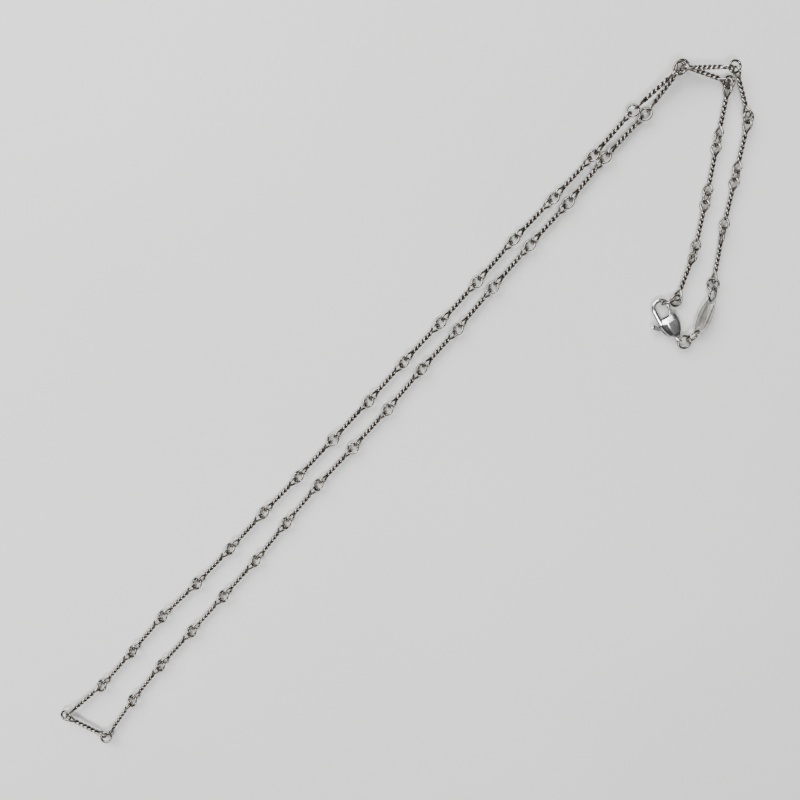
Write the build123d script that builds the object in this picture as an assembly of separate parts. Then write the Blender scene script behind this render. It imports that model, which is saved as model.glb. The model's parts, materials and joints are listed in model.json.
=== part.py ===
from build123d import *
import os
from math import cos, radians, sin

os.makedirs("parts", exist_ok=True)

# A fine chain necklace, 45 cm round, lying folded double on a flat surface with its clasp shut.
# +X runs along the two long legs towards the clasp, +Z is up, and the surface is at Z = 0.
# The chain is 45 twisted bars joined by round jump rings. Millimetres and degrees.

# Wire, rings and bars
WIRE = 0.42                 # drawn wire of the bars and the small rings
RING_RADIUS = 0.965         # small jump ring, to the middle of its wire
EYE_RADIUS = 0.79           # eye at each end of a bar, to the middle of its wire
STRAND_OFFSET = 0.20        # each of the two twisted strands, from the bar's axis
TWIST_TURNS = 3             # whole left-handed turns between the two eyes
PITCH = 9.5                 # from one ring's centre to the next along a taut chain
NECK = 0.14                 # from the wire of an eye to the end of the twist
NECK_RADIUS = 0.35          # solder that closes the eye at the neck
PLAY = 0.05                 # gap between two wires that hang in each other
CHAIN_Z = 0.98              # height of the bars' axes above the surface

# Fittings at the clasp
TAIL_RING_RADIUS = 1.10
LOWER_RING_RADIUS = 1.30
UPPER_RING_RADIUS = 1.27
END_RING_RADIUS = 1.10
LARGE_WIRE = 0.46           # wire of the two rings at the tag
FITTING_Z = 1.10            # height of the clasp's mid-plane and its rings
TAG_LENGTH = 7.2
TAG_WIDTH = 2.5
TAG_THICKNESS = 0.44
TAG_RIM = 0.28              # width of the raised rim
TAG_RECESS = 0.12           # depth of the field inside the rim
TAG_HOLE_RADIUS = 0.55
TAG_HOLE_OFFSET = 2.8       # each hole's centre from the middle of the tag
TAG_END_RADIUS = 0.8

# Clasp, in its own plane: X across, Y from its tail towards its hook, Z up
CLASP_THICKNESS = 2.2
CLASP_HALF_WIDTH = 1.72
CLASP_SHOULDER = 4.1        # top edge of the body above its bottom
HOOK_WIRE = 0.84
HOOK_CENTRE = (-0.2, 6.3)
HOOK_RADIUS = 1.3
HOOK_TIP_Y = 5.8
LEVER_PIVOT = (0.15, 2.6)
LEVER_THICKNESS = 0.72
LEVER_PLAY = 0.08
PIN_RADIUS = 0.3
TAIL_LOOP_RADIUS = 0.6
TAIL_LOOP_WIRE = 0.44
TAIL_LOOP_CENTRE = (0, -0.45)

# The lie of the chain. A run is the compass heading of each bar in turn, from the clasp outwards.
OUTER_RUN = [36, 33, 35, 65, 134, 175, 181, 179, 178, 181, 180,
             179, 180, 179, 179, 178, 179, 178, 176, 181, 180, 172]
INNER_RUN = [25, 33, 35, 35, 114, 185, 179, 183, 180, 181, 182,
             180, 182, 180, 179, 182, 183, 180, 180, 180, 183, 186]
FRONT_HEADING = 96          # front bar, from the end of the inner run to the end of the outer run
# How much shorter than PITCH a loose bar's rings stand, by its place in the run
OUTER_SLACK = {0: 0.4, 3: 0.9}
INNER_SLACK = {0: 0.8, 1: 0.1, 2: 0.1, 3: 0.1, 4: 1.1}
# Height of a ring's centre where one run lies over the other, by its place in the run
OUTER_HEIGHTS = {1: 1.05, 3: 1.4, 4: 2.2, 5: 3.0, 6: 1.5, 22: 1.25}
INNER_HEIGHTS = {1: 1.05, 22: 1.25}
# Rings lean over to one side along the chain, a few lie nearly flat
ROLLS = [44, 47, 38, 42, 48, 40, 24, 45]
OUTER_CORNER_ROLLS = {3: 20, 4: 8, 5: 6, 22: 15}
INNER_CORNER_ROLLS = {4: 8, 5: 12, 22: 15}
CLASP_ORIGIN = Vector(45.96, -19.38, 0)
CLASP_HEADING = -18
TAIL_HEADING = -70
LOWER_RING_HEADING = -12
LOWER_RING_ROLL = 50
TAG_RINGS_Z = 1.25
TAG_HEADING = 21
TAG_ROLL = -20
UPPER_RING_HEADING = 33
UPPER_RING_ROLL = 45
SMALL_RING_ROLL = -40
HOOK_GRIP_ANGLE = 24        # where the end ring lies on the hook's bend
END_RING_LEAD = 0.49        # from the middle of the hook's wire to the end ring's centre
END_LEAD_HEADING = -60
END_RING_HEADING = -29
END_RING_ROLL = 79
END_RING_Z = 1.3
FIRST_RING_LEAD = 1.49      # from the end ring's centre to the first ring's centre
FIRST_LEAD_HEADING = -39
FIRST_RING_HEADING = -17
FIRST_RING_ROLL = 7
LOOSE = 0.12                # slack between the fittings' rings
# The whole necklace is moved by this, so that the origin is at the middle of its footprint
CENTRING = Vector(0.15, 1.9, 0)

UP = Vector(0, 0, 1)


def direction(heading):
    """Level unit vector at a compass heading, counted from +X towards +Y."""
    return Vector(cos(radians(heading)), sin(radians(heading)), 0)


class Ring:
    """A round wire ring, which leans by `roll` about a level line through its centre."""

    def __init__(self, centre, heading, roll, radius=RING_RADIUS, wire=WIRE):
        self.centre = centre
        self.radius = radius
        self.wire = wire
        self.normal = UP.rotate(Axis((0, 0, 0), direction(heading)), roll)

    def toward(self, way):
        """Point on the middle of the wire where a pull along `way` would bear."""
        in_plane = way - self.normal * way.dot(self.normal)
        return self.centre + in_plane.normalized() * self.radius

    def tangent(self, point):
        return self.normal.cross((point - self.centre).normalized())

    def solid(self):
        return Plane(self.centre, z_dir=self.normal).location * Torus(self.radius, self.wire / 2)


def interlock(radius_a, wire_a, radius_b, wire_b):
    """Distance between the centres of two rings that are pulled apart."""
    return radius_a + radius_b - (wire_a + wire_b) / 2 - PLAY


# ---- Bars and small rings

EYE_SPACING = PITCH - 2 * RING_RADIUS - 2 * (EYE_RADIUS - WIRE - PLAY)
TWIST_LENGTH = EYE_SPACING - 2 * (EYE_RADIUS + NECK)


def make_bar():
    """One twisted bar along X, centred on the origin, with both eyes in the XY plane."""
    strands = Sketch() + [Pos(0, y) * Circle(WIRE / 2) for y in (-STRAND_OFFSET, STRAND_OFFSET)]
    section = Plane(origin=(-TWIST_LENGTH / 2, 0, 0), x_dir=(0, 0, 1), z_dir=(1, 0, 0)) * strands
    twist = Solid.extrude_linear_with_rotation(
        section.faces()[0], (-TWIST_LENGTH / 2, 0, 0), (TWIST_LENGTH, 0, 0), -360 * TWIST_TURNS)
    bar = Part() + twist
    for side in (-1, 1):
        bar += Pos(side * EYE_SPACING / 2, 0, 0) * Torus(EYE_RADIUS, WIRE / 2)
        bar += Pos(side * TWIST_LENGTH / 2, 0, 0) * Sphere(NECK_RADIUS)
    return bar


BAR = make_bar()


def place_bar(start, end, across):
    """The bar between two points on the wires it hangs in, its eyes square to `across`."""
    along = (end - start).normalized()
    normal = (across - along * across.dot(along)).normalized()
    return Plane((start + end) / 2, x_dir=along, z_dir=normal).location * BAR


def lay_run(first_ring, headings, front_heading, slack, corner_rolls, heights):
    """Rings and bars of one run of chain: a list of rings and a list of bars with their pivots."""
    rings = [first_ring]
    leavings = headings[1:] + [front_heading]
    for number, (heading, leaving) in enumerate(zip(headings, leavings), start=1):
        height = heights.get(number, CHAIN_Z)
        rise = height - rings[-1].centre.Z
        reach = PITCH - slack.get(number - 1, 0)
        level_reach = (reach ** 2 - rise ** 2) ** 0.5
        centre = rings[-1].centre + direction(heading) * level_reach + UP * rise
        roll = corner_rolls.get(number, ROLLS[number % len(ROLLS)])
        rings.append(Ring(centre, (heading + leaving) / 2, roll))
    bars = []
    for near, far in zip(rings, rings[1:]):
        way = (far.centre - near.centre).normalized()
        start = near.toward(way)
        end = far.toward(way * -1)
        near_tangent = near.tangent(start)
        far_tangent = far.tangent(end)
        if near_tangent.dot(far_tangent) < 0:
            far_tangent = far_tangent * -1
        bars.append((place_bar(start, end, near_tangent + far_tangent), start, near_tangent))
    return rings, bars


# ---- Clasp

CLASP_PLANE = Plane(CLASP_ORIGIN, x_dir=direction(CLASP_HEADING), z_dir=(0, 0, 1))


def bar_outline(a, b, width):
    """Sketch of a strip with round ends from point a to point b."""
    middle = Vector((a[0] + b[0]) / 2, (a[1] + b[1]) / 2)
    along = Vector(b[0] - a[0], b[1] - a[1])
    turn = Vector(1, 0).get_signed_angle(along, UP)
    return Pos(middle) * Rot(0, 0, turn) * SlotCenterToCenter(along.length, width)


def make_clasp_body():
    top = CLASP_SHOULDER
    half = CLASP_HALF_WIDTH
    edges = [
        ThreePointArc((-0.55, 0), (-half, top * 0.48), (-1.6, top)),
        Line((-1.6, top), (1.6, top - 0.2)),
        ThreePointArc((1.6, top - 0.2), (half, top * 0.45), (0.55, 0)),
        Line((0.55, 0), (-0.55, 0)),
    ]
    body = extrude(make_face(edges), CLASP_THICKNESS)
    body = fillet(body.faces().sort_by(Axis.Z)[-1].edges(), 0.55)
    body = fillet(body.faces().sort_by(Axis.Z)[0].edges(), 0.3)
    # Slot for the lever: it opens to the left for the thumb tab and upwards for the gate
    slot = make_face(Polyline(
        (-2.4, 1.0), (-2.4, 3.5), (-0.75, 3.5), (-0.75, 4.6), (1.25, 4.6), (1.25, 2.2),
        (0.6, 1.65), (-0.3, 1.65), (-2.4, 1.0)))
    slot_depth = LEVER_THICKNESS + 2 * LEVER_PLAY
    body -= Pos(0, 0, FITTING_Z - slot_depth / 2) * extrude(slot, slot_depth)
    body -= Pos(*LEVER_PIVOT, CLASP_THICKNESS / 2) * Cylinder(PIN_RADIUS, CLASP_THICKNESS)
    # Fixed hook
    left = HOOK_CENTRE[0] - HOOK_RADIUS
    right = HOOK_CENTRE[0] + HOOK_RADIUS
    hook_path = Wire([
        Line((left, CLASP_SHOULDER - 0.35), (left, HOOK_CENTRE[1])).edge(),
        ThreePointArc((left, HOOK_CENTRE[1]), (HOOK_CENTRE[0], HOOK_CENTRE[1] + HOOK_RADIUS),
                      (right, HOOK_CENTRE[1])).edge(),
        Line((right, HOOK_CENTRE[1]), (right, HOOK_TIP_Y)).edge(),
    ])
    start = Plane(origin=hook_path @ 0, z_dir=hook_path % 0)
    hook = sweep(start * Circle(HOOK_WIRE / 2), path=hook_path)
    body += Pos(0, 0, FITTING_Z) * hook
    body += Pos(right, HOOK_TIP_Y, FITTING_Z) * Sphere(HOOK_WIRE / 2)
    # Loop at the tail
    loop_turn = TAIL_HEADING - CLASP_HEADING + 90
    loop = Rot(0, 0, loop_turn) * Rot(0, 90, 0) * Torus(TAIL_LOOP_RADIUS, TAIL_LOOP_WIRE / 2)
    body += Pos(*TAIL_LOOP_CENTRE, FITTING_Z) * loop
    return body


def make_clasp_lever():
    gate = bar_outline(LEVER_PIVOT, (1.02, 4.98), 0.62)
    shank = bar_outline(LEVER_PIVOT, (-2.1, 2.8), 0.62)
    tab = bar_outline((-2.1, 2.8), (-2.85, 3.9), 0.74)
    plate = Pos(*LEVER_PIVOT) * Circle(0.85) + gate + shank + tab
    lever = Pos(0, 0, FITTING_Z - LEVER_THICKNESS / 2) * extrude(plate, LEVER_THICKNESS)
    lever -= Pos(*LEVER_PIVOT, FITTING_Z) * Cylinder(PIN_RADIUS + 0.05, 2)
    # Pocket for the spring in the upper side of the hub
    lever -= Pos(*LEVER_PIVOT, FITTING_Z + LEVER_THICKNESS / 2) * Cylinder(0.66, 0.8)
    return lever


def make_clasp_spring():
    """Two and a half turns of fine wire round the rivet."""
    path = Helix(pitch=0.13, height=0.325, radius=0.49)
    wire = Plane(origin=path @ 0, z_dir=path % 0) * Circle(0.055)
    coil = sweep(wire, path=path, is_frenet=True)
    return Pos(*LEVER_PIVOT, FITTING_Z + 0.04) * coil


def make_clasp_pin():
    return Pos(*LEVER_PIVOT, CLASP_THICKNESS / 2) * Cylinder(PIN_RADIUS, CLASP_THICKNESS)


# ---- Tag

def make_tag():
    """Pointed oval plate with a raised rim, flat in XY, a hole at each end."""
    def lens(inset):
        half_length = TAG_LENGTH / 2 - inset
        half_width = TAG_WIDTH / 2 - inset
        end = TAG_END_RADIUS - inset
        neck = half_length - end
        outline = [
            ThreePointArc((-neck, end), (0, half_width), (neck, end)),
            ThreePointArc((neck, end), (half_length, 0), (neck, -end)),
            ThreePointArc((neck, -end), (0, -half_width), (-neck, -end)),
            ThreePointArc((-neck, -end), (-half_length, 0), (-neck, end)),
        ]
        return make_face(outline)
    plate = Pos(0, 0, -TAG_THICKNESS / 2) * extrude(lens(0), TAG_THICKNESS)
    field = Pos(0, 0, TAG_THICKNESS / 2 - TAG_RECESS) * extrude(lens(TAG_RIM), TAG_THICKNESS)
    plate -= field
    for side in (-1, 1):
        plate -= Pos(side * TAG_HOLE_OFFSET, 0, 0) * Cylinder(TAG_HOLE_RADIUS, 2 * TAG_THICKNESS)
    return plate


# ---- Where everything lies

def on_clasp(x, y, z=FITTING_Z):
    return CLASP_PLANE.from_local_coords(Vector(x, y, z))


# Rings between the clasp's tail and the outer run, each hanging in the one before it
loop_centre = on_clasp(*TAIL_LOOP_CENTRE)
loop_to_tail = TAIL_LOOP_RADIUS + TAIL_RING_RADIUS - (TAIL_LOOP_WIRE + WIRE) / 2 - PLAY
tail_ring = Ring(loop_centre + direction(TAIL_HEADING) * loop_to_tail,
                 TAIL_HEADING, 0, TAIL_RING_RADIUS)
tail_to_lower = interlock(TAIL_RING_RADIUS, WIRE, LOWER_RING_RADIUS, LARGE_WIRE) - LOOSE
lower_centre = tail_ring.centre + direction(LOWER_RING_HEADING) * tail_to_lower
lower_centre.Z = TAG_RINGS_Z
lower_ring = Ring(lower_centre, LOWER_RING_HEADING, LOWER_RING_ROLL,
                  LOWER_RING_RADIUS, LARGE_WIRE)
lower_hole = lower_ring.toward(direction(25))
tag_way = direction(TAG_HEADING) + UP * (TAG_RINGS_Z - lower_hole.Z) / (2 * TAG_HOLE_OFFSET)
tag_plane = Plane(lower_hole + tag_way * TAG_HOLE_OFFSET, x_dir=tag_way,
                  z_dir=UP.rotate(Axis((0, 0, 0), direction(TAG_HEADING)), TAG_ROLL))
upper_hole = lower_hole + tag_way * 2 * TAG_HOLE_OFFSET
upper_ring = Ring(upper_hole + direction(UPPER_RING_HEADING) * UPPER_RING_RADIUS,
                  UPPER_RING_HEADING, UPPER_RING_ROLL, UPPER_RING_RADIUS, LARGE_WIRE)
upper_to_small = interlock(UPPER_RING_RADIUS, LARGE_WIRE, RING_RADIUS, WIRE) - PLAY
small_centre = upper_ring.centre + direction(42) * upper_to_small
small_centre.Z = FITTING_Z
small_ring = Ring(small_centre, 39, SMALL_RING_ROLL)

# Rings between the clasp's hook and the inner run
hook_grip = on_clasp(HOOK_CENTRE[0] + HOOK_RADIUS * cos(radians(HOOK_GRIP_ANGLE)),
                     HOOK_CENTRE[1] + HOOK_RADIUS * sin(radians(HOOK_GRIP_ANGLE)))
end_centre = hook_grip + direction(END_LEAD_HEADING) * END_RING_LEAD
end_centre.Z = END_RING_Z
end_ring = Ring(end_centre, END_RING_HEADING, END_RING_ROLL, END_RING_RADIUS)
first_centre = end_ring.centre + direction(FIRST_LEAD_HEADING) * FIRST_RING_LEAD
first_centre.Z = CHAIN_Z
first_ring = Ring(first_centre, FIRST_RING_HEADING, FIRST_RING_ROLL)

outer_rings, outer_bars = lay_run(small_ring, OUTER_RUN, FRONT_HEADING + 180, OUTER_SLACK,
                                  OUTER_CORNER_ROLLS, OUTER_HEIGHTS)
inner_rings, inner_bars = lay_run(first_ring, INNER_RUN, FRONT_HEADING, INNER_SLACK,
                                  INNER_CORNER_ROLLS, INNER_HEIGHTS)

# The front bar hangs on the last ring of each run and closes the necklace
front_way = outer_rings[-1].centre - inner_rings[-1].centre
front_start = inner_rings[-1].toward(front_way)
front_end = outer_rings[-1].toward(front_way * -1)
front_across = inner_rings[-1].tangent(front_start)
front_bar = place_bar(front_start, front_end, front_across)

nodes = {
    "clasp_body": CLASP_PLANE.location * make_clasp_body(),
    "clasp_lever": CLASP_PLANE.location * make_clasp_lever(),
    "clasp_spring": CLASP_PLANE.location * make_clasp_spring(),
    "clasp_rivet": CLASP_PLANE.location * make_clasp_pin(),
    "clasp_tail_ring": tail_ring.solid(),
    "lower_jump_ring": lower_ring.solid(),
    "tag": tag_plane.location * make_tag(),
    "upper_jump_ring": upper_ring.solid(),
    "small_jump_ring": small_ring.solid(),
    "end_ring": end_ring.solid(),
    "first_ring": first_ring.solid(),
    "front_bar": front_bar,
}
for run, rings, bars in (("outer", outer_rings, outer_bars), ("inner", inner_rings, inner_bars)):
    for number, (bar, start, tangent) in enumerate(bars, start=1):
        pieces = [bar.solid(), rings[number].solid().solid()]
        nodes[f"{run}_link_{number:02d}"] = Compound(pieces)

for name, shape in nodes.items():
    export_step(Location(CENTRING) * shape, f"parts/{name}.step")
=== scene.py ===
import json
import math

import bpy
import bmesh
import numpy as np
from mathutils import Matrix, Vector, noise


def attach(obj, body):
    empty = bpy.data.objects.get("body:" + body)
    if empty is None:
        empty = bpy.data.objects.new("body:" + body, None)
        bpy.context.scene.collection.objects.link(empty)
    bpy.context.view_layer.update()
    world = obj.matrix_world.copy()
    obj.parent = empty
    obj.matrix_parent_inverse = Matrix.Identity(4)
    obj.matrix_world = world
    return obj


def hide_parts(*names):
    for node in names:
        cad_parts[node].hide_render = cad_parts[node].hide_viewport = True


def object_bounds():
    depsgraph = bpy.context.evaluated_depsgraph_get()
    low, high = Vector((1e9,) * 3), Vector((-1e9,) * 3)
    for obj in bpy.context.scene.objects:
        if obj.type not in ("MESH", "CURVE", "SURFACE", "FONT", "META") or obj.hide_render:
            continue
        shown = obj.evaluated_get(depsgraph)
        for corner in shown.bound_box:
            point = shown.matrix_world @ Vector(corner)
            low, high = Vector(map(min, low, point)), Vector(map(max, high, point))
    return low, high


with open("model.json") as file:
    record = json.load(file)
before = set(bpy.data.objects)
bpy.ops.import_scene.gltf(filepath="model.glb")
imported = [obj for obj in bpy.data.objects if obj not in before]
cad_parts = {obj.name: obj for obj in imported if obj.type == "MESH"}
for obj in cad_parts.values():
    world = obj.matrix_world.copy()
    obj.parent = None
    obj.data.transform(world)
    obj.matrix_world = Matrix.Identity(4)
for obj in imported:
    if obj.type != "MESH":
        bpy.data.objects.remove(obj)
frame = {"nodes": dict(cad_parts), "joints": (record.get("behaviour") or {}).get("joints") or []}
cad_low, cad_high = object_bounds()

# Sizes are in millimetres and headings in degrees, as in the CAD. Meshes are scaled to metres once.
MM = 0.001

# Wire, rings and bars
WIRE = 0.42                 # drawn wire of the bars and the small rings
LARGE_WIRE = 0.46           # wire of the two rings at the tag
RING_RADIUS = 0.965         # small jump ring, to the middle of its wire
TAIL_RING_RADIUS = 1.10
LOWER_RING_RADIUS = 1.30
UPPER_RING_RADIUS = 1.27
END_RING_RADIUS = 1.10
EYE_RADIUS = 0.79           # eye at each end of a bar, to the middle of its wire
EYE_SPACING = 6.93          # between the centres of a bar's two eyes
EYE_ARC = 128               # how far an eye's wire runs round from its outermost point, each way
NECK = 0.14                 # from the middle of an eye's wire to the end of the twist
TWIST_LENGTH = EYE_SPACING - 2 * (EYE_RADIUS + NECK)
TWIST_TURNS = 3
STRAND_OFFSET = 0.2         # each of the two twisted strands, from the bar's axis
STRAND_RADIUS = 0.232       # a twisted strand, a little more than the drawn wire
LINKS_IN_RUN = 22
VARIANTS = 4                # bars, and rings, that differ in their waver

# Clasp, in its own plane: X across, Y from its tail towards its hook, Z up
CLASP_HEADING = -18
TAIL_HEADING = -70
FITTING_Z = 1.1             # height of the clasp's mid-plane
LEVER_PIVOT = (0.15, 2.6)
HUB_WIDTH = 1.5
GATE_BEND = (0.62, 3.7)
GATE_TIP = (1.0, 4.92)
TAB_BEND = (-2.15, 2.9)
TAB_END = (-2.86, 3.84)
LEVER_HALF_THICKNESS = 0.33
HOOK_CENTRE = (-0.2, 6.3)
HOOK_RADIUS = 1.3
HOOK_TIP = (1.1, 5.8)
HOOK_TIP_RADIUS = 0.37
TAIL_LOOP_Y = -0.45
TAIL_LOOP_RADIUS = 0.6
TAIL_LOOP_WIRE = 0.44
SLOT_HALF_DEPTH = 0.37
RIVET_RADIUS = 0.3

# Tag, flat in XY, its Z counted from the middle of its thickness
TAG_HEADING = 21
TAG_ROLL = -20
TAG_LENGTH = 7.2
TAG_WIDTH = 2.5
TAG_END = 0.8               # radius of its rounded ends
TAG_HOLE = 0.55
TAG_HOLE_OFFSET = 2.8       # each hole's centre from the middle of the tag
TAG_TOP = 0.22
TAG_FIELD = 0.10            # height of the field inside the rim
TAG_RIM = 0.235             # width of the rim

joints = {j["name"]: j for j in frame["joints"]}


# ---- Materials

# Colour of the darkening in sheltered places: partly tarnish, partly painted shade
TARNISH_AND_SHADE = (0.016, 0.012, 0.009)
# A Mix node's two colour inputs and its colour output, by their place among its sockets
MIX_FROM = 6
MIX_TO = 7
MIX_RESULT = 2


def node(tree, kind, x, y, **values):
    made = tree.nodes.new(kind)
    made.location = (x, y)
    for key, value in values.items():
        setattr(made, key, value)
    return made


def noise_texture(tree, x, y, scale, detail, **values):
    made = node(tree, "ShaderNodeTexNoise", x, y, **values)
    made.inputs["Scale"].default_value = scale
    made.inputs["Detail"].default_value = detail
    return made


def maths(tree, x, y, operation, *values, clamp=False):
    """Output of a Math node, each of whose values is a number or another node's output."""
    made = node(tree, "ShaderNodeMath", x, y, operation=operation, use_clamp=clamp)
    for socket, value in zip(made.inputs, values):
        if isinstance(value, float):
            socket.default_value = value
        else:
            tree.links.new(value, socket)
    return made.outputs["Value"]


def colour_ramp(tree, x, y, stops):
    """A colour ramp through two or more stops, each a position and a colour."""
    made = node(tree, "ShaderNodeValToRGB", x, y)
    elements = made.color_ramp.elements
    elements[0].position = stops[0][0]
    elements[1].position = stops[-1][0]
    for position, _ in stops[1:-1]:
        elements.new(position)
    for element, (_, colour) in zip(elements, stops):
        element.color = (*colour, 1)
    return made


def add_bump(tree, x, y, texture, strength, distance, shader):
    """Roughens the shader's surface by a noise texture."""
    bump = node(tree, "ShaderNodeBump", x, y)
    bump.inputs["Strength"].default_value = strength
    bump.inputs["Distance"].default_value = distance * MM
    tree.links.new(texture.outputs["Fac"], bump.inputs["Height"])
    tree.links.new(bump.outputs["Normal"], shader.inputs["Normal"])


def silver(name, colour, dark, roughness, mottle, grain, brushed=0.0):
    """Sterling silver: a mottled sheen, fine scratches, and darkening where the mesh is sheltered, partly
    tarnish and partly painted shade.
    """
    material = bpy.data.materials.new(name)
    material.use_nodes = True
    tree = material.node_tree
    tree.nodes.clear()
    link = tree.links.new
    out = node(tree, "ShaderNodeOutputMaterial", 900, 0)
    shader = node(tree, "ShaderNodeBsdfPrincipled", 600, 0)
    shader.inputs["Metallic"].default_value = 1.0
    link(shader.outputs["BSDF"], out.inputs["Surface"])
    spot = node(tree, "ShaderNodeTexCoord", -1100, 0)
    own = node(tree, "ShaderNodeObjectInfo", -1100, -300)

    # Broad clouds, and fine scratches that are drawn out along X on brushed metal
    cloud = noise_texture(tree, -800, 200, mottle, 5, noise_dimensions="4D")
    cloud.inputs["Roughness"].default_value = 0.62
    link(spot.outputs["Object"], cloud.inputs["Vector"])
    link(own.outputs["Random"], cloud.inputs["W"])
    fine = noise_texture(tree, -800, -100, grain, 3, noise_dimensions="4D")
    link(own.outputs["Random"], fine.inputs["W"])
    stretch = node(tree, "ShaderNodeMapping", -980, -100)
    stretch.inputs["Scale"].default_value = (1.0 - 0.9 * brushed, 1.0, 1.0)
    link(spot.outputs["Object"], stretch.inputs["Vector"])
    link(stretch.outputs["Vector"], fine.inputs["Vector"])
    dark_colour = [c * dark for c in colour]
    tone = colour_ramp(tree, -550, 250, [(0.36, dark_colour), (0.60, colour)])
    link(cloud.outputs["Fac"], tone.inputs["Fac"])

    # Darkening where the mesh is sheltered, patchy by the same clouds: partly tarnish, partly painted shade
    sheltered = node(tree, "ShaderNodeAttribute", -800, -400, attribute_name="recess").outputs["Fac"]
    patches = maths(tree, -550, -250, "MULTIPLY_ADD", cloud.outputs["Fac"], 0.35, -0.17)
    patchy_tarnish_and_shade = maths(tree, -380, -350, "ADD", sheltered, patches, clamp=True)
    amount = maths(tree, -200, -350, "MULTIPLY", patchy_tarnish_and_shade, sheltered, clamp=True)
    mix = node(tree, "ShaderNodeMix", 0, 200, data_type="RGBA")
    link(amount, mix.inputs["Factor"])
    link(tone.outputs["Color"], mix.inputs[MIX_FROM])
    mix.inputs[MIX_TO].default_value = (*TARNISH_AND_SHADE, 1)
    link(mix.outputs[MIX_RESULT], shader.inputs["Base Color"])

    # Scratches make the metal duller, and so does the darkening of tarnish and painted shade
    gloss = node(tree, "ShaderNodeMapRange", -300, 0)
    gloss.inputs["From Min"].default_value = 0.3
    gloss.inputs["From Max"].default_value = 0.7
    gloss.inputs["To Min"].default_value = roughness * 0.7
    gloss.inputs["To Max"].default_value = roughness * 1.35
    link(fine.outputs["Fac"], gloss.inputs["Value"])
    dull = maths(tree, 0, -50, "MULTIPLY_ADD", amount, 0.3, gloss.outputs["Result"])
    link(dull, shader.inputs["Roughness"])
    add_bump(tree, 300, -250, fine, 0.35, 0.02, shader)
    return material


def paper(name):
    """The plain pale surface under the necklace."""
    material = bpy.data.materials.new(name)
    material.use_nodes = True
    tree = material.node_tree
    shader = tree.nodes["Principled BSDF"]
    shader.inputs["Roughness"].default_value = 0.6
    spot = node(tree, "ShaderNodeTexCoord", -900, 0)
    cloud = noise_texture(tree, -650, 0, 9, 8)
    tone = colour_ramp(tree, -400, 0, [(0.35, (0.590, 0.604, 0.590)), (0.7, (0.640, 0.652, 0.640))])
    tree.links.new(spot.outputs["Object"], cloud.inputs["Vector"])
    tree.links.new(cloud.outputs["Fac"], tone.inputs["Fac"])
    tree.links.new(tone.outputs["Color"], shader.inputs["Base Color"])
    grain = noise_texture(tree, -650, -300, 900, 4)
    tree.links.new(spot.outputs["Object"], grain.inputs["Vector"])
    add_bump(tree, -300, -300, grain, 0.30, 0.2, shader)
    return material


CHAIN = silver("chain_silver", (0.30, 0.275, 0.255), dark=0.45, roughness=0.21, mottle=900, grain=5200)
RINGS = silver("ring_silver", (0.275, 0.25, 0.226), dark=0.42, roughness=0.17, mottle=800, grain=5200)
CLASP = silver("clasp_silver", (0.66, 0.64, 0.65), dark=0.80, roughness=0.13, mottle=600, grain=4200)
TAG = silver("tag_silver", (0.43, 0.42, 0.40), dark=0.62, roughness=0.24, mottle=700, grain=5200,
             brushed=1.0)
SPRING = silver("spring_steel", (0.30, 0.30, 0.31), dark=0.70, roughness=0.30, mottle=900, grain=5200)


# ---- Mesh helpers

def into_scene(thing):
    bpy.context.scene.collection.objects.link(thing)


def smooth_step(value, low, high):
    t = np.clip((value - low) / (high - low), 0, 1)
    return t * t * (3 - 2 * t)


def between_rings(count, sides, closed=False):
    """Faces that join each ring of points to the next, and the last to the first if it is closed."""
    faces = []
    for i in range(count if closed else count - 1):
        near = i * sides
        far = (i + 1) % count * sides
        for k in range(sides):
            n = (k + 1) % sides
            faces.append((near + k, near + n, far + n, far + k))
    return faces


def end_faces(count, sides):
    """Faces that close the first and the last ring of points."""
    return [tuple(range(sides))[::-1], tuple(range((count - 1) * sides, count * sides))]


def tube(points, radii, sides=14, closed=True):
    """Vertices and faces of a round tube along points, with frames carried along it."""
    points = np.array(points, float)
    count = len(points)
    radii = np.broadcast_to(np.array(radii, float), count)
    if closed:
        ahead, behind = np.roll(points, -1, 0), np.roll(points, 1, 0)
    else:
        ahead = np.vstack([points[1:], points[-1:]])
        behind = np.vstack([points[:1], points[:-1]])
    tangents = ahead - behind
    tangents /= np.linalg.norm(tangents, axis=1)[:, None]
    no_tangent = (0.12, 0.31, 1.0)      # a line that no tube here starts along
    start = np.cross(tangents[0], no_tangent)
    normals = [start / np.linalg.norm(start)]
    for t in tangents[1:]:
        n = normals[-1] - t * np.dot(normals[-1], t)
        normals.append(n / np.linalg.norm(n))
    normals = np.array(normals)
    # A closed tube's frames are turned back bit by bit, so that the last meets the first
    turn = 0.0
    if closed:
        last = normals[-1] - tangents[0] * np.dot(normals[-1], tangents[0])
        side = np.cross(tangents[0], normals[0])
        turn = math.atan2(np.dot(last, side), np.dot(last, normals[0]))
    vertices = []
    for i in range(count):
        side = np.cross(tangents[i], normals[i])
        for k in range(sides):
            a = 2 * math.pi * k / sides - turn * i / count
            vertices.append(points[i] + radii[i] * (math.cos(a) * normals[i] + math.sin(a) * side))
    faces = between_rings(count, sides, closed)
    if not closed:
        faces += end_faces(count, sides)
    return vertices, faces


def ball(centre, radii, rings=10, sides=16):
    """Vertices and faces of an ellipsoid."""
    vertices = [(centre[0], centre[1], centre[2] - radii[2])]
    for i in range(1, rings):
        a = math.pi * i / rings
        for k in range(sides):
            b = 2 * math.pi * k / sides
            vertices.append((centre[0] + radii[0] * math.sin(a) * math.cos(b),
                             centre[1] + radii[1] * math.sin(a) * math.sin(b),
                             centre[2] - radii[2] * math.cos(a)))
    vertices.append((centre[0], centre[1], centre[2] + radii[2]))
    top = len(vertices) - 1
    base = 1 + (rings - 2) * sides
    faces = []
    for k in range(sides):
        n = (k + 1) % sides
        faces.append((0, 1 + n, 1 + k))
        faces.append((base + k, base + n, top))
    for a, b, c, d in between_rings(rings - 1, sides):
        faces.append((1 + a, 1 + b, 1 + c, 1 + d))
    return vertices, faces


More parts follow.
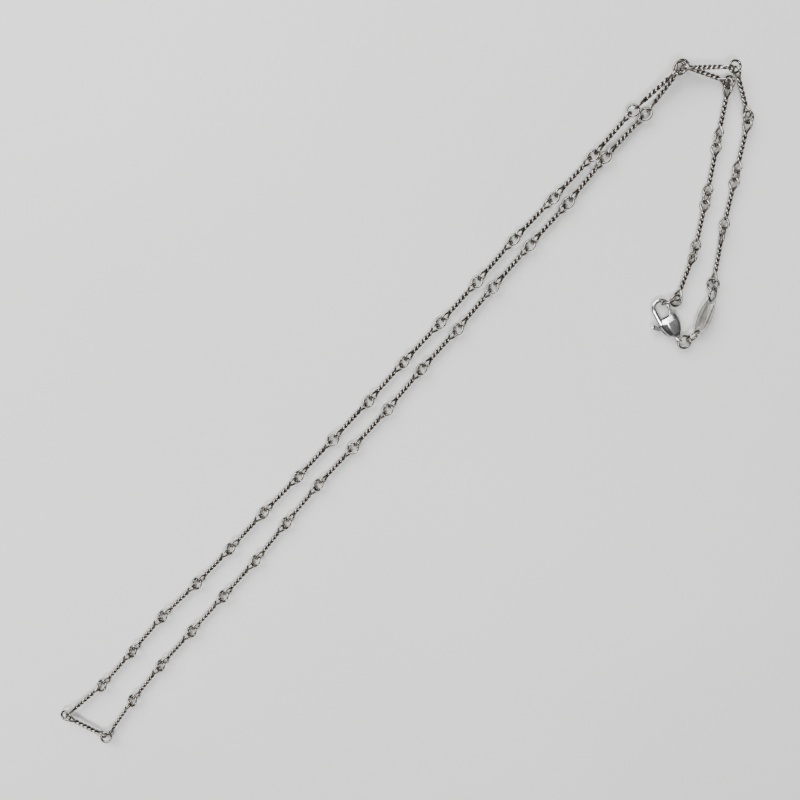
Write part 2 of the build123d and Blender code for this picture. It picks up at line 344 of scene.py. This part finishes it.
def join(parts):
    """One list of vertices and faces from several."""
    vertices, faces = [], []
    for some, their_faces in parts:
        shift = len(vertices)
        vertices += [tuple(v) for v in some]
        faces += [tuple(i + shift for i in f) for f in their_faces]
    return vertices, faces


def coordinates(mesh):
    """A mesh's points in millimetres, one to a row."""
    flat = np.zeros(len(mesh.vertices) * 3)
    mesh.vertices.foreach_get("co", flat)
    return flat.reshape(-1, 3) / MM


def finish_mesh(mesh, recess, material):
    """Gives a mesh its material, smooth faces, and how sheltered each vertex is, from 0 to 1, which the
    material darkens as partly tarnish and partly painted shade.
    """
    attribute = mesh.attributes.get("recess") or mesh.attributes.new("recess", "FLOAT", "POINT")
    attribute.data.foreach_set("value", np.array(recess, np.float32))
    mesh.materials.clear()
    mesh.materials.append(material)
    for polygon in mesh.polygons:
        polygon.use_smooth = True
    return mesh


def make_mesh(name, vertices, faces, recess, material):
    """A mesh in metres from vertices in millimetres."""
    mesh = bpy.data.meshes.new(name)
    mesh.from_pydata([tuple(c * MM for c in v) for v in vertices], [], faces)
    mesh.update()
    return finish_mesh(mesh, recess, material)


def place(centre, along, normal):
    """Matrix of a piece at centre, its X along one line and its Z as near another as it can be."""
    along = along.normalized()
    normal = (normal - along * along.dot(normal)).normalized()
    side = normal.cross(along)
    matrix = Matrix((along, side, normal)).transposed().to_4x4()
    matrix.translation = centre * MM
    return matrix


def add(name, mesh, matrix, body, nodes=()):
    """Puts a piece in place, on its body, in front of the CAD nodes it stands for."""
    piece = bpy.data.objects.new(name, mesh)
    into_scene(piece)
    piece.matrix_world = matrix
    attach(piece, body)
    if nodes:
        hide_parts(*nodes)


# ---- Rings and bars

def inner_side(from_centre, radius, wire):
    """How far a point is round to the inner side of a ring's wire, from 0 to 1."""
    return smooth_step(radius - from_centre, wire * 0.18, wire * 0.55)


def ring_mesh(name, radius, wire, material, seed):
    """A closed jump ring: round wire with a soldered seam and the slight waver of hand closing."""
    count = 72
    waver_size = 0.008
    seam_width, solder_width = 0.035, 0.16      # radians round the ring
    points, radii = [], []
    for i in range(count):
        a = 2 * math.pi * i / count
        waver = waver_size * noise.noise((math.cos(a) * 1.3, math.sin(a) * 1.3, seed * 7.1))
        r = radius + waver
        points.append((r * math.cos(a), r * math.sin(a), waver))
        gap = min(a, 2 * math.pi - a)
        seam = math.exp(-(gap / seam_width) ** 2)
        solder = math.exp(-(gap / solder_width) ** 2)
        radii.append(wire / 2 * (1 + 0.045 * solder - 0.13 * seam))
    vertices, faces = tube(points, radii, 16)
    # Darker on the inner side of the wire, partly tarnish and partly painted shade, and darkest at the
    # soldered seam's joint
    v = np.array(vertices)
    recess = 0.55 * inner_side(np.hypot(v[:, 0], v[:, 1]), radius, wire)
    angle = np.abs(np.arctan2(v[:, 1], v[:, 0]))
    recess = np.maximum(recess, 0.9 * np.exp(-(angle / 0.03) ** 2))
    return make_mesh(name, vertices, faces, recess, material)


def strand_points(phase):
    """One of a bar's two strands, from its left end to its right."""
    steps = 22 * TWIST_TURNS
    points = []
    for i in range(steps + 1):
        t = i / steps
        a = phase - 2 * math.pi * TWIST_TURNS * t
        pull = 1 - 0.10 * (math.exp(-(t * 14) ** 2) + math.exp(-((1 - t) * 14) ** 2))
        offset = STRAND_OFFSET * pull
        points.append((TWIST_LENGTH * (t - 0.5), offset * math.cos(a), offset * math.sin(a)))
    return points


def eye_points(side, seed):
    """The eye at one end of a bar, open towards the twist."""
    steps = 30
    points = []
    for i in range(steps + 1):
        a = math.radians(EYE_ARC) * (1 - 2 * i / steps)
        radius = EYE_RADIUS + 0.006 * noise.noise((a, seed * 3.7, side))
        points.append((side * (EYE_SPACING / 2 + radius * math.cos(a)), side * radius * math.sin(a), 0.0))
    return points


def bar_mesh(name, seed):
    """One wire doubled back: a round eye at each end, its two strands twisted to the left between."""
    half = TWIST_LENGTH / 2
    path = np.array(strand_points(0)[:-1] + eye_points(1, seed)
                    + strand_points(math.pi)[::-1][1:-1] + eye_points(-1, seed))
    # Eases the wire round the corner between the twist and the eye
    for _ in range(3):
        from_middle = np.abs(path[:, 0])
        near_eye = smooth_step(from_middle, half - 0.25, half)
        near_eye *= 1 - smooth_step(from_middle, half + 0.55, half + 0.8)
        mean = (np.roll(path, 1, 0) + np.roll(path, -1, 0)) / 2
        path += (mean - path) * (0.6 * near_eye)[:, None]
    radii = np.where(np.abs(path[:, 0]) < half, STRAND_RADIUS, WIRE / 2)
    for _ in range(6):
        radii = (np.roll(radii, 1) + radii * 2 + np.roll(radii, -1)) / 4
    radii = radii * [1 + 0.02 * noise.noise((p[0] * 1.7, p[1] * 2, seed * 5.3)) for p in path]
    solder = [ball((side * (half + 0.02), 0, 0), (0.30, 0.30, 0.25)) for side in (-1, 1)]
    vertices, faces = join([tube(path, radii, 14)] + solder)

    # Darker between the strands and on the inner side of the eyes: partly tarnish, partly painted shade
    v = np.array(vertices)
    from_middle = np.abs(v[:, 0])
    twisted = 1 - smooth_step(from_middle, half + 0.05, half + 0.45)
    groove = twisted * (1 - smooth_step(np.hypot(v[:, 1], v[:, 2]), 0.235, 0.385))
    from_eye = np.hypot(from_middle - EYE_SPACING / 2, v[:, 1])
    eye_inner = 0.5 * inner_side(from_eye, EYE_RADIUS, WIRE)
    recess = np.maximum(groove, eye_inner * (1 - twisted))
    return make_mesh(name, vertices, faces, recess, CHAIN)


BAR_MESHES = [bar_mesh(f"bar_{i}", i + 1.0) for i in range(VARIANTS)]
RING_MESHES = [ring_mesh(f"ring_{i}", RING_RADIUS, WIRE, RINGS, i + 1.0) for i in range(VARIANTS)]


def islands(name):
    """The separate solids of a CAD node, each as its distinct points, in millimetres."""
    mesh = frame["nodes"][name].data
    points, same = np.unique(np.round(coordinates(mesh), 4), axis=0, return_inverse=True)
    same = same.ravel()
    edges = np.zeros(len(mesh.edges) * 2, int)
    mesh.edges.foreach_get("vertices", edges)
    edges = same[edges].reshape(-1, 2)
    label = np.arange(len(points))
    while True:
        before = label.copy()
        low = np.minimum(label[edges[:, 0]], label[edges[:, 1]])
        np.minimum.at(label, edges[:, 0], low)
        np.minimum.at(label, edges[:, 1], low)
        label = label[label]
        if (label == before).all():
            return [points[label == k] for k in np.unique(label)]


class Ring:
    """Where a CAD ring lies: its centre and the line it is square to."""

    def __init__(self, points, radius=RING_RADIUS):
        self.centre = Vector((points.max(0) + points.min(0)) / 2)
        _, _, axes = np.linalg.svd(points - points.mean(0), full_matrices=False)
        self.normal = Vector(axes[2])
        if self.normal.z < 0:
            self.normal.negate()
        self.radius = radius

    def toward(self, way):
        """Point on the middle of the wire where a pull along `way` would bear."""
        in_plane = way - self.normal * way.dot(self.normal)
        return self.centre + in_plane.normalized() * self.radius

    def tangent(self, point):
        return self.normal.cross((point - self.centre).normalized())

    def matrix(self, seam):
        """The ring's place, with its seam turned to a compass angle about its own axis."""
        across = Vector((1, 0, 0)) - self.normal * self.normal.x
        across.normalize()
        across.rotate(Matrix.Rotation(math.radians(seam), 3, self.normal))
        return place(self.centre, across, self.normal)


def bar_matrix(near, far):
    """The bar that hangs in two rings, as the CAD lays it."""
    way = (far.centre - near.centre).normalized()
    start, end = near.toward(way), far.toward(-way)
    near_tangent, far_tangent = near.tangent(start), far.tangent(end)
    if near_tangent.dot(far_tangent) < 0:
        far_tangent.negate()
    return place((start + end) / 2, end - start, near_tangent + far_tangent)


# Each fitting ring's CAD node and body, its radius and wire, and where its seam is turned to
FITTINGS = (
    ("clasp_tail_ring", "tail_ring", TAIL_RING_RADIUS, WIRE, 200),
    ("lower_jump_ring", "lower_ring", LOWER_RING_RADIUS, LARGE_WIRE, 250),
    ("upper_jump_ring", "upper_ring", UPPER_RING_RADIUS, LARGE_WIRE, 100),
    ("small_jump_ring", "small_ring", RING_RADIUS, WIRE, 300),
    ("end_ring", "end_ring", END_RING_RADIUS, WIRE, 150),
    ("first_ring", "first_ring", RING_RADIUS, WIRE, 330))

fitting_rings = {}
for name, body, radius, wire, seam in FITTINGS:
    fitting_rings[name] = Ring(np.vstack(islands(name)), radius)
    mesh = ring_mesh(f"{name}_mesh", radius, wire, RINGS, radius * 9)
    add(f"{name}_piece", mesh, fitting_rings[name].matrix(seam), body, [name])


def lay_run(run, near, first_seed):
    """A run's bars and rings, from the ring it hangs in, and the ring that it ends with."""
    for number in range(1, LINKS_IN_RUN + 1):
        link = f"{run}_link_{number:02d}"
        # A link's node holds a bar and a ring, and the ring is the smaller
        ring_points = min(islands(link), key=lambda p: np.ptp(p, axis=0).max())
        far = Ring(ring_points)
        seed = number * 7 + first_seed
        add(f"{run}_bar_{number:02d}", BAR_MESHES[seed % VARIANTS], bar_matrix(near, far), link,
            [link])
        add(f"{run}_ring_{number:02d}", RING_MESHES[(seed // 2) % VARIANTS],
            far.matrix(seed * 53 % 360), link)
        near = far
    return near


outer_last = lay_run("outer", fitting_rings["small_jump_ring"], 0)
inner_last = lay_run("inner", fitting_rings["first_ring"], 3)
front_way = outer_last.centre - inner_last.centre
front_start = inner_last.toward(front_way)
front_end = outer_last.toward(-front_way)
front_matrix = place((front_start + front_end) / 2, front_end - front_start,
                     inner_last.tangent(front_start))
add("front_bar_piece", BAR_MESHES[1], front_matrix, "front_bar", ["front_bar"])


# ---- Clasp

def from_modifiers(name, vertices, faces, modifiers):
    """Mesh in metres made by running modifiers on a shape in millimetres."""
    mesh = bpy.data.meshes.new(name + "_raw")
    mesh.from_pydata([tuple(v) for v in vertices], [], faces)
    mesh.update()
    b = bmesh.new()
    b.from_mesh(mesh)
    bmesh.ops.recalc_face_normals(b, faces=b.faces)
    b.to_mesh(mesh)
    b.free()
    work = bpy.data.objects.new(name + "_raw", mesh)
    into_scene(work)
    for kind, values in modifiers:
        modifier = work.modifiers.new(kind.lower(), kind)
        for key, value in values.items():
            setattr(modifier, key, value)
    bpy.context.view_layer.update()
    evaluated = work.evaluated_get(bpy.context.evaluated_depsgraph_get())
    made = bpy.data.meshes.new_from_object(evaluated)
    bpy.data.objects.remove(work)
    made.name = name
    made.transform(Matrix.Scale(MM, 4))
    return made


def prism(outline, low, high):
    """A flat-sided block with this outline."""
    count = len(outline)
    vertices = [(x, y, low) for x, y in outline] + [(x, y, high) for x, y in outline]
    return vertices, end_faces(2, count) + between_rings(2, count)


def strip(a, b, width_a, width_b, steps=10):
    """Outline of a strip with round ends from point a to point b."""
    turn = math.atan2(b[1] - a[1], b[0] - a[0])
    outline = []
    for centre, width, start in ((a, width_a, math.pi / 2), (b, width_b, -math.pi / 2)):
        for i in range(steps + 1):
            angle = turn + start + math.pi * i / steps
            outline.append((centre[0] + width / 2 * math.cos(angle),
                            centre[1] + width / 2 * math.sin(angle)))
    return outline


# Sections of the body from its tail to its shoulder: y, half width, bottom, ridge height
BODY_SECTIONS = [
    (-0.02, 0.36, 0.70, 1.50), (0.10, 0.60, 0.42, 1.70), (0.45, 1.00, 0.14, 1.90),
    (1.00, 1.38, 0.02, 2.06), (1.70, 1.68, 0.0, 2.17), (2.40, 1.86, 0.0, 2.24),
    (3.10, 1.94, 0.0, 2.27), (3.34, 1.95, 0.0, 2.28), (3.42, 1.95, 0.0, 2.25),
    (3.94, 1.92, 0.04, 1.93), (4.14, 1.84, 0.18, 1.80), (4.24, 1.62, 0.45, 1.72)]
RIDGE_AT = -0.3             # the ridge's place across the body, as a share of its half width
NARROW_FACET = 0.62         # how far each facet falls before it turns down, as a share
WIDE_FACET = 0.24
SLOT_OUTLINE = [(-2.4, 1.0), (-0.3, 1.65), (0.6, 1.65), (1.25, 2.2), (1.25, 4.6), (-0.75, 4.6),
                (-0.75, 3.5), (-2.4, 3.5)]


def body_loft():
    """The body's outer shape: flat under, with two facets above that meet at a ridge."""
    sides = 48
    vertices = []
    for y, half, low, high in BODY_SECTIONS:
        middle = low + (high - low) * 0.50
        for k in range(sides):
            a = 2 * math.pi * k / sides
            c, s = math.cos(a), math.sin(a)
            if s >= 0:
                x = half * c
                off_ridge = c - RIDGE_AT
                fall = off_ridge / (1 - RIDGE_AT) if off_ridge > 0 else -off_ridge / (1 + RIDGE_AT)
                facet = WIDE_FACET if off_ridge > 0 else NARROW_FACET
                z = middle + (high - middle) * (1 - facet * fall - (1 - facet) * fall ** 9)
            else:
                x = half * math.copysign(abs(c) ** 0.5, c)
                z = middle - (middle - low) * abs(s) ** 0.5
            vertices.append((x, y, z))
    count = len(BODY_SECTIONS)
    return vertices, between_rings(count, sides) + end_faces(count, sides)


def hook_tube():
    """The fixed hook, thick where it leaves the body and finer towards its tip."""
    path = [(-1.34, 3.2), (-1.42, 3.8), (-1.48, 4.5), (-1.5, 5.3)]
    for degrees in range(190, -1, -10):
        a = math.radians(degrees)
        path.append((HOOK_CENTRE[0] + HOOK_RADIUS * math.cos(a), HOOK_CENTRE[1] + HOOK_RADIUS * math.sin(a)))
    path += [(HOOK_TIP[0], HOOK_TIP[1] + 0.25), HOOK_TIP]
    last = len(path) - 1
    radii = np.interp(range(len(path)), (0, 3, 8, 20, last), (0.62, 0.5, 0.43, 0.41, HOOK_TIP_RADIUS))
    return tube([(x, y, FITTING_Z) for x, y in path], radii, 20, closed=False)


def tail_loop_tube():
    """The upright loop at the tail, which the tail ring hangs in."""
    steps = 40
    turn = math.radians(TAIL_HEADING - CLASP_HEADING + 90)
    path = []
    for i in range(steps):
        a = 2 * math.pi * i / steps
        u, z = TAIL_LOOP_RADIUS * math.cos(a), TAIL_LOOP_RADIUS * math.sin(a)
        path.append((-u * math.sin(turn), TAIL_LOOP_Y + u * math.cos(turn), FITTING_Z + z))
    return tube(path, TAIL_LOOP_WIRE / 2, 16)


def slot_painted_shade(v):
    """How sheltered each point of the body is, as painted shade: dark inside the slot, paler towards its
    mouth.
    """
    near_slot = np.abs(v[:, 2] - FITTING_Z) < 0.46
    inside = near_slot & (v[:, 1] > 0.9) & (v[:, 1] < 4.3)
    return np.where(inside, 0.85 * smooth_step(1.72 - np.abs(v[:, 0]), 0.0, 0.6), 0.0)


def clasp_body_mesh():
    tip = ball((*HOOK_TIP, FITTING_Z), (HOOK_TIP_RADIUS, HOOK_TIP_RADIUS, HOOK_TIP_RADIUS))
    root = ball((0.0, 0.02, FITTING_Z), (0.40, 0.30, 0.36))
    raw = join([body_loft(), hook_tube(), tip, tail_loop_tube(), root])
    slot_mesh = bpy.data.meshes.new("slot")
    vertices, faces = prism(SLOT_OUTLINE, FITTING_Z - SLOT_HALF_DEPTH, FITTING_Z + SLOT_HALF_DEPTH)
    slot_mesh.from_pydata(vertices, [], faces)
    cutter = bpy.data.objects.new("slot", slot_mesh)
    into_scene(cutter)
    mesh = from_modifiers("clasp_body_mesh", *raw, [
        ("REMESH", {"mode": "VOXEL", "voxel_size": 0.045}),
        ("SMOOTH", {"factor": 0.5, "iterations": 4}),
        ("BOOLEAN", {"operation": "DIFFERENCE", "object": cutter, "solver": "EXACT"})])
    bpy.data.objects.remove(cutter)
    # Painted shade inside the slot
    finish_mesh(mesh, slot_painted_shade(coordinates(mesh)), CLASP)
    mesh.set_sharp_from_angle(angle=math.radians(50))
    return mesh


def clasp_lever_mesh():
    """Gate, hub and thumb tab in one piece."""
    low, high = FITTING_Z - LEVER_HALF_THICKNESS, FITTING_Z + LEVER_HALF_THICKNESS
    raw = join([
        prism(strip(LEVER_PIVOT, GATE_BEND, 0.62, 0.56), low, high),
        prism(strip(GATE_BEND, GATE_TIP, 0.56, 0.52), low, high),
        ball((1.0, 4.94, FITTING_Z), (0.3, 0.3, 0.33)),
        prism(strip(LEVER_PIVOT, LEVER_PIVOT, HUB_WIDTH, HUB_WIDTH), low, high),
        prism(strip(LEVER_PIVOT, TAB_BEND, 0.7, 0.56), low, high),
        prism(strip(TAB_BEND, TAB_END, 0.6, 0.84), low, high),
        ball((-2.88, 3.92, FITTING_Z), (0.46, 0.42, 0.42))])
    mesh = from_modifiers("clasp_lever_mesh", *raw, [
        ("REMESH", {"mode": "VOXEL", "voxel_size": 0.04}),
        ("SMOOTH", {"factor": 0.5, "iterations": 5})])
    # Painted shade on the hub and on the parts of the lever near it, which sit inside the body's slot
    v = coordinates(mesh)
    from_pivot = np.hypot(v[:, 0] - LEVER_PIVOT[0], v[:, 1] - LEVER_PIVOT[1])
    return finish_mesh(mesh, 0.8 * (1 - smooth_step(from_pivot, 1.0, 2.0)), CLASP)


def rivet_mesh():
    """The rivet, filed nearly flush at both sides."""
    edge = RIVET_RADIUS
    profile = [(0.001, 0.0), (0.27, 0.0), (edge, 0.03), (edge, 2.10), (0.26, 2.16), (0.001, 2.18)]
    sides = 24
    vertices = []
    for r, z in profile:
        for k in range(sides):
            a = 2 * math.pi * k / sides
            vertices.append((LEVER_PIVOT[0] + r * math.cos(a), LEVER_PIVOT[1] + r * math.sin(a), z))
    faces = between_rings(len(profile), sides)
    return make_mesh("rivet_mesh", vertices, faces, np.zeros(len(vertices)), CLASP)


pivot = Vector(joints["lever_turn"]["pos_m"])
clasp_turn = Matrix.Rotation(math.radians(CLASP_HEADING), 4, "Z")
clasp_matrix = (Matrix.Translation(pivot) @ clasp_turn
                @ Matrix.Translation((-LEVER_PIVOT[0] * MM, -LEVER_PIVOT[1] * MM, -FITTING_Z * MM)))
add("clasp_body_piece", clasp_body_mesh(), clasp_matrix, "clasp", ["clasp_body"])
add("clasp_lever_piece", clasp_lever_mesh(), clasp_matrix, "lever", ["clasp_lever"])
add("clasp_rivet_piece", rivet_mesh(), clasp_matrix, "clasp", ["clasp_rivet"])
spring_mesh = frame["nodes"]["clasp_spring"].data
spring_mesh.materials.clear()
spring_mesh.materials.append(SPRING)


# ---- Tag

def arc(start, through, end, steps):
    """Points on the circle through three points, clockwise, without the last."""
    (ax, ay), (bx, by), (cx, cy) = start, through, end
    d = 2 * (ax * (by - cy) + bx * (cy - ay) + cx * (ay - by))
    ux = ((ax**2 + ay**2) * (by - cy) + (bx**2 + by**2) * (cy - ay)
          + (cx**2 + cy**2) * (ay - by)) / d
    uy = ((ax**2 + ay**2) * (cx - bx) + (bx**2 + by**2) * (ax - cx)
          + (cx**2 + cy**2) * (bx - ax)) / d
    r = math.hypot(ax - ux, ay - uy)
    a0, a1 = math.atan2(ay - uy, ax - ux), math.atan2(cy - uy, cx - ux)
    while a1 > a0:
        a1 -= 2 * math.pi
    return [(ux + r * math.cos(a0 + (a1 - a0) * i / steps),
             uy + r * math.sin(a0 + (a1 - a0) * i / steps)) for i in range(steps)]


def lens(inset):
    """The tag's pointed oval, drawn in from its edge by an inset."""
    side_steps, end_steps = 30, 16
    length, width, end = TAG_LENGTH / 2 - inset, TAG_WIDTH / 2 - inset, TAG_END - inset
    neck = length - end
    return (arc((-neck, end), (0, width), (neck, end), side_steps)
            + arc((neck, end), (length, 0), (neck, -end), end_steps)
            + arc((neck, -end), (0, -width), (-neck, -end), side_steps)
            + arc((-neck, -end), (-length, 0), (-neck, end), end_steps))


def hole(side):
    steps = 40
    return [(side * TAG_HOLE_OFFSET + TAG_HOLE * math.cos(2 * math.pi * k / steps),
             TAG_HOLE * math.sin(2 * math.pi * k / steps)) for k in range(steps)]


def sheet_metal(name, outlines, low, high, bevel):
    """Vertices and faces of flat stock with these outlines, its edges rounded."""
    curve = bpy.data.curves.new(name, "CURVE")
    curve.dimensions = "2D"
    curve.fill_mode = "BOTH"
    curve.extrude = (high - low) / 2 - bevel
    curve.bevel_depth = bevel
    curve.bevel_resolution = 3
    curve.offset = -bevel
    for outline in outlines:
        spline = curve.splines.new("POLY")
        spline.points.add(len(outline) - 1)
        for point, (x, y) in zip(spline.points, outline):
            point.co = (x, y, 0, 1)
        spline.use_cyclic_u = True
    work = bpy.data.objects.new(name, curve)
    into_scene(work)
    bpy.context.view_layer.update()
    made = bpy.data.meshes.new_from_object(work.evaluated_get(bpy.context.evaluated_depsgraph_get()))
    vertices = [(v.co.x, v.co.y, v.co.z + (low + high) / 2) for v in made.vertices]
    faces = [tuple(p.vertices) for p in made.polygons]
    bpy.data.objects.remove(work)
    return vertices, faces


def tag_mesh():
    """The plate and the raised rim on it, darkened along the rim's foot (partly tarnish, partly painted
    shade) and on the side walls (painted shade).
    """
    plate = sheet_metal("tag_plate", [lens(0), hole(-1), hole(1)], -TAG_TOP, TAG_FIELD, 0.05)
    rim = sheet_metal("tag_rim", [lens(0.0), lens(TAG_RIM)], 0.05, TAG_TOP, 0.06)
    vertices, faces = join([plate, rim])
    # Darker at the rim's foot, partly tarnish and partly painted shade; painted shade on the side walls
    v = np.array(vertices)
    field_half_width = (TAG_WIDTH / 2 - 0.24) * (1 - (v[:, 0] / 4.6) ** 2)
    to_rim = field_half_width - np.abs(v[:, 1])
    on_field = (v[:, 2] > 0.09) & (v[:, 2] < 0.13)
    side_wall = (v[:, 2] < 0.09) & (to_rim < 0)
    recess = np.where(on_field, 0.8 * (1 - smooth_step(to_rim, 0.0, 0.14)), 0.0)
    recess = np.where(side_wall, 0.8, recess)
    mesh = make_mesh("tag_mesh", vertices, faces, recess, TAG)
    b = bmesh.new()
    b.from_mesh(mesh)
    bmesh.ops.remove_doubles(b, verts=b.verts, dist=0.0005 * MM)
    b.to_mesh(mesh)
    b.free()
    mesh.set_sharp_from_angle(angle=math.radians(40))
    return mesh


lower_hole = Vector(joints["tag_swing"]["pos_m"]) / MM
upper_hole = Vector(joints["upper_ring_swing"]["pos_m"]) / MM
tag_normal = Vector((0, 0, 1))
tag_line = Vector((math.cos(math.radians(TAG_HEADING)), math.sin(math.radians(TAG_HEADING)), 0))
tag_normal.rotate(Matrix.Rotation(math.radians(TAG_ROLL), 3, tag_line))
tag_matrix = place((lower_hole + upper_hole) / 2, upper_hole - lower_hole, tag_normal)
add("tag_piece", tag_mesh(), tag_matrix, "tag", ["tag"])


# ---- Floor, light and camera. Sizes and places of the floor and the lights are in metres.

SPAN = 4.0                  # from the middle of the floor to its sides
FLOOR_GAP = 0.00001         # under the necklace, so that the two don't share a plane

floor_mesh = bpy.data.meshes.new("floor")
floor_mesh.from_pydata([(-SPAN, -SPAN, 0), (SPAN, -SPAN, 0), (SPAN, SPAN, 0), (-SPAN, SPAN, 0)],
                       [], [(0, 1, 2, 3)])
floor_mesh.materials.append(paper("floor_paper"))
floor = bpy.data.objects.new("floor", floor_mesh)
into_scene(floor)
floor.location.z = cad_low.z - FLOOR_GAP


def area_light(name, position, target, size, power, colour):
    data = bpy.data.lights.new(name, "AREA")
    data.shape = "RECTANGLE"
    data.size, data.size_y = size
    data.energy = power
    data.color = colour
    light = bpy.data.objects.new(name, data)
    into_scene(light)
    light.location = position
    aim = Vector(target) - Vector(position)
    light.rotation_euler = aim.to_track_quat("-Z", "Y").to_euler()


area_light("window", position=(0.12, 0.52, 0.40), target=(0, 0.04, 0), size=(0.72, 0.48),
           power=12.2, colour=(1.0, 0.995, 0.985))
area_light("ceiling", position=(-0.22, -0.08, 0.70), target=(0, 0, 0), size=(0.22, 0.22),
           power=4.6, colour=(0.985, 1.0, 0.99))


def room():
    """What the silver mirrors: a pale backdrop low down, darker walls above it, and a pale ceiling."""
    world = bpy.data.worlds.new("room")
    world.use_nodes = True
    tree = world.node_tree
    wall = (0.075, 0.075, 0.075)
    facing = node(tree, "ShaderNodeTexCoord", -900, 0)
    height = node(tree, "ShaderNodeSeparateXYZ", -700, 0)
    tone = colour_ramp(tree, -500, 0, [
        (0.14, (0.58, 0.59, 0.585)), (0.28, wall), (0.55, wall), (0.95, (0.46, 0.475, 0.465))])
    background = tree.nodes["Background"]
    background.inputs["Strength"].default_value = 1.0
    tree.links.new(facing.outputs["Generated"], height.inputs["Vector"])
    tree.links.new(height.outputs["Z"], tone.inputs["Fac"])
    tree.links.new(tone.outputs["Color"], background.inputs["Color"])
    return world


bpy.context.scene.world = room()

# The camera looks steeply down from beyond the +Y side, its right hand towards +X and -Y
CAMERA_AT = Vector((28.545, 40.740, 148.452))
LOOK = Vector((-0.1539, -0.1884, -0.97)).normalized()
RIGHT = Vector((0.6631, -0.7474, 0.04))
FOCAL_LENGTH = 38.25
SENSOR_WIDTH = 36
CLIP_START = 5

camera_data = bpy.data.cameras.new("camera")
camera_data.lens = FOCAL_LENGTH
camera_data.sensor_width = SENSOR_WIDTH
camera_data.clip_start = CLIP_START * MM
camera = bpy.data.objects.new("camera", camera_data)
into_scene(camera)
right = (RIGHT - LOOK * RIGHT.dot(LOOK)).normalized()
up = (-LOOK).cross(right)
camera.matrix_world = Matrix((right, up, -LOOK)).transposed().to_4x4()
camera.location = CAMERA_AT * MM
bpy.context.scene.camera = camera
